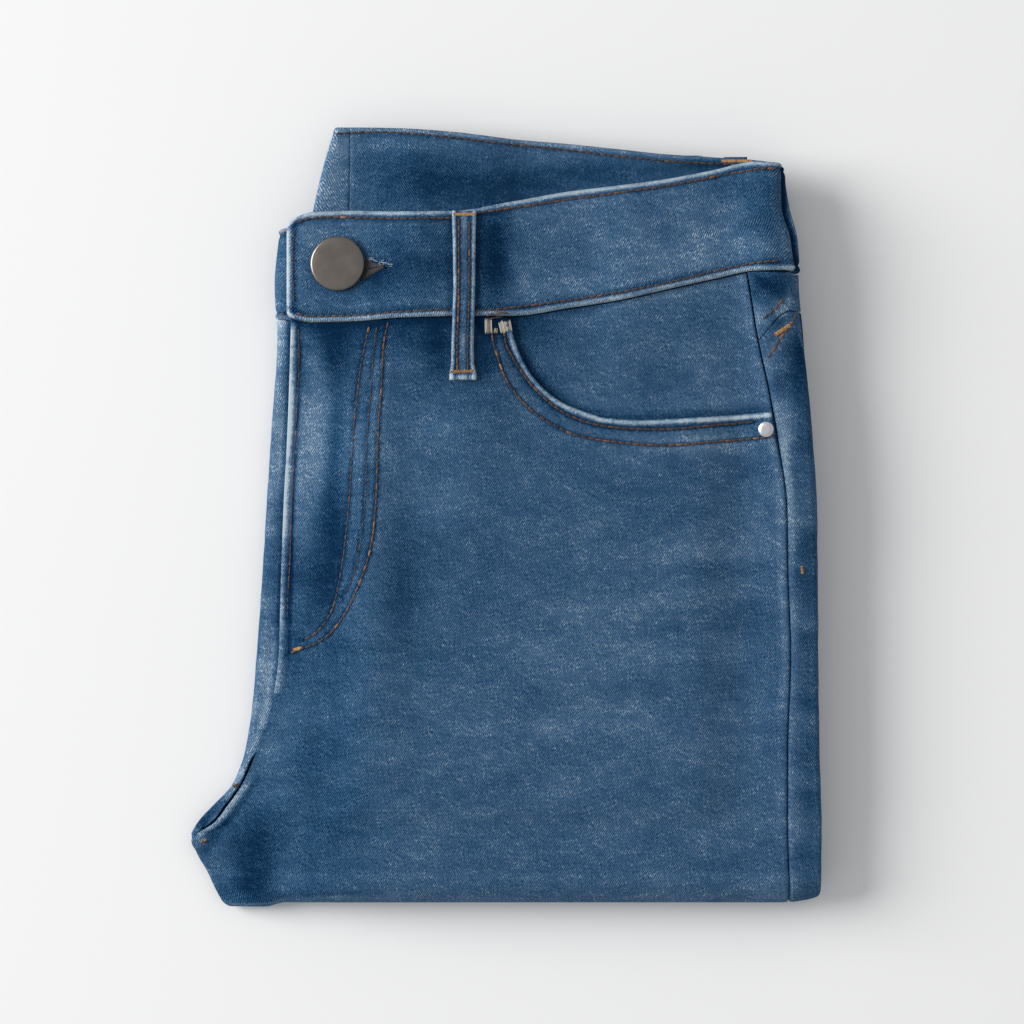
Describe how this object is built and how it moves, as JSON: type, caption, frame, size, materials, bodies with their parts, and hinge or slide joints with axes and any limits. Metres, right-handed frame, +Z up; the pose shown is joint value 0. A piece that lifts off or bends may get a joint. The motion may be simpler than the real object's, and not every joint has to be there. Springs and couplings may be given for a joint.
{
  "type": "folded slim jeans",
  "caption": "Slim stretch-denim jeans folded lengthwise and up under themselves, lying flat with the front and waistband on top.",
  "frame": {"origin": "below the middle of the outline, on the surface the jeans lie on", "axes": "+Y towards the waist, +X towards the outer side seams, +Z up out of the folded pile"},
  "size_m": [0.2332, 0.2893, 0.028],
  "materials": {
    "denim": "worn mid-blue twill, matte",
    "denim_band": "doubled mid-blue twill, matte",
    "denim_loop": "mid-blue twill with worn light edges",
    "denim_inside": "mid-blue twill, matte",
    "zip_tape": "dark woven tape, matte",
    "button_metal": "dark nickel, satin",
    "rivet_metal": "bright nickel, satin"
  },
  "bodies": {
    "root": {"front_left": "denim", "front_right": "denim", "back_left": "denim", "back_right": "denim", "yoke_left": "denim", "yoke_right": "denim", "waistband_left": "denim_band", "waistband_right": "denim_band", "pocket_facing_left": "denim_inside", "back_pocket_left": "denim_inside", "back_pocket_right": "denim_inside", "fly_zip": "zip_tape", "belt_loop_front_left": "denim_loop", "belt_loop_front_right": "denim_loop", "belt_loop_back_left": "denim_loop", "belt_loop_back_right": "denim_loop", "button": "button_metal", "rivet": "rivet_metal", "folded_legs": "denim"}
  },
  "joints": []
}
